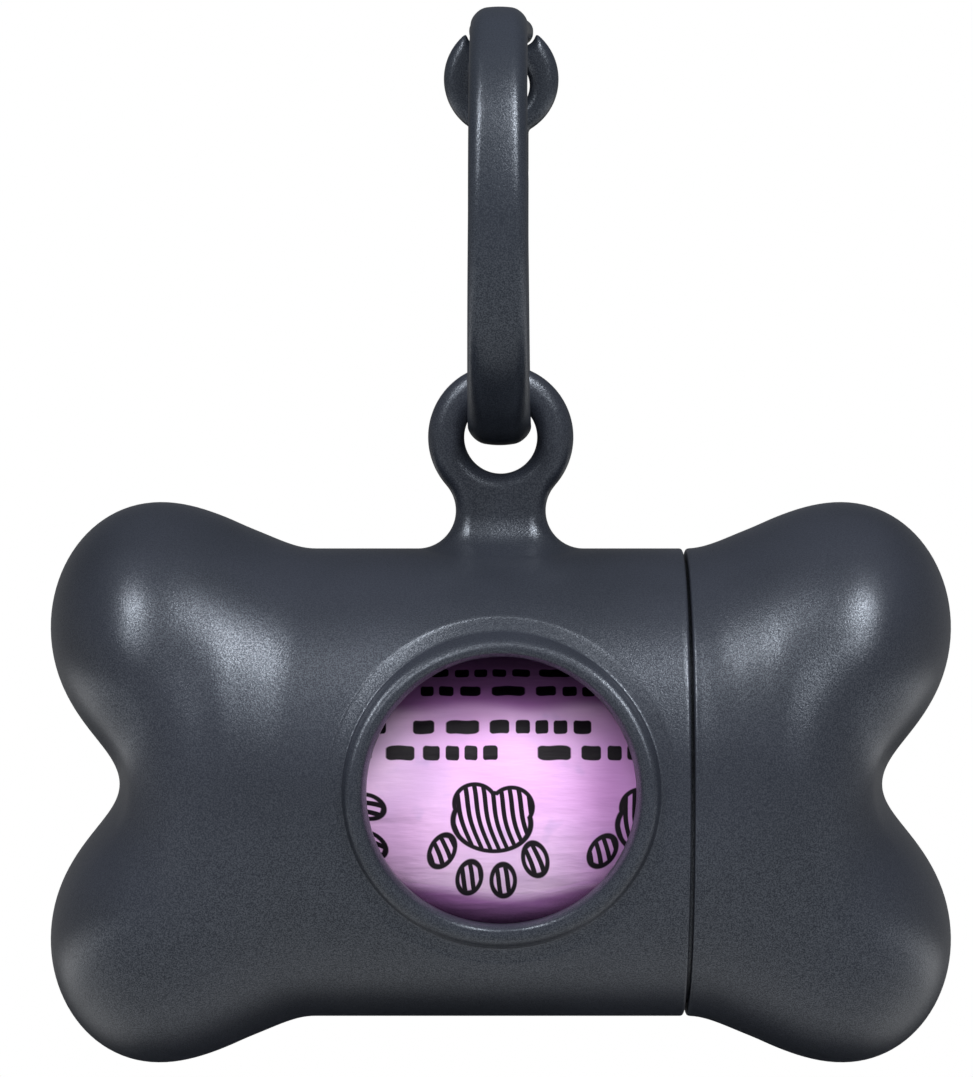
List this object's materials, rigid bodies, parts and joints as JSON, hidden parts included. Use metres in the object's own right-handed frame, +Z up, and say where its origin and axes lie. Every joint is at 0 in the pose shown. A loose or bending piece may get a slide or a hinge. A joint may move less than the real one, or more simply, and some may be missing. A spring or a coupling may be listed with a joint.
{
  "type": "dog poop bag dispenser",
  "caption": "Bone-shaped plastic dispenser that holds a roll of waste bags behind a round window and hangs from a leash by a snap loop.",
  "frame": {"origin": "the point inside the top of the snap loop where a leash bears, over the middle of the bone", "axes": "+Z up, +X along the bone towards the removable cap, the window faces -Y"},
  "size_m": [0.0818, 0.0443, 0.097],
  "materials": {
    "body_plastic": "fine spark-eroded matte",
    "cap_plastic": "fine spark-eroded matte",
    "strap_plastic": "fine spark-eroded matte",
    "bag_film": null,
    "core_paper": "plain grey-brown board"
  },
  "bodies": {
    "loop": {"clip_strap": "strap_plastic"},
    "bone": {"body_shell": "body_plastic"},
    "cap": {"end_cap": "cap_plastic"},
    "roll": {"bag_roll": "bag_film", "roll_core": "core_paper"}
  },
  "joints": [
    {"name": "eye_swing", "type": "hinge", "parent": "loop", "child": "bone", "pos_m": [0, 0, -0.03598], "axis": [0, 1, 0], "range_deg": [-90, 90]},
    {"name": "cap_pull", "type": "slide", "parent": "bone", "child": "cap", "axis": [1, 0, 0], "range_m": [0, 0.045]},
    {"name": "roll_spin", "type": "hinge", "parent": "bone", "child": "roll", "pos_m": [0, 0, -0.06989], "axis": [1, 0, 0], "continuous": true}
  ]
}
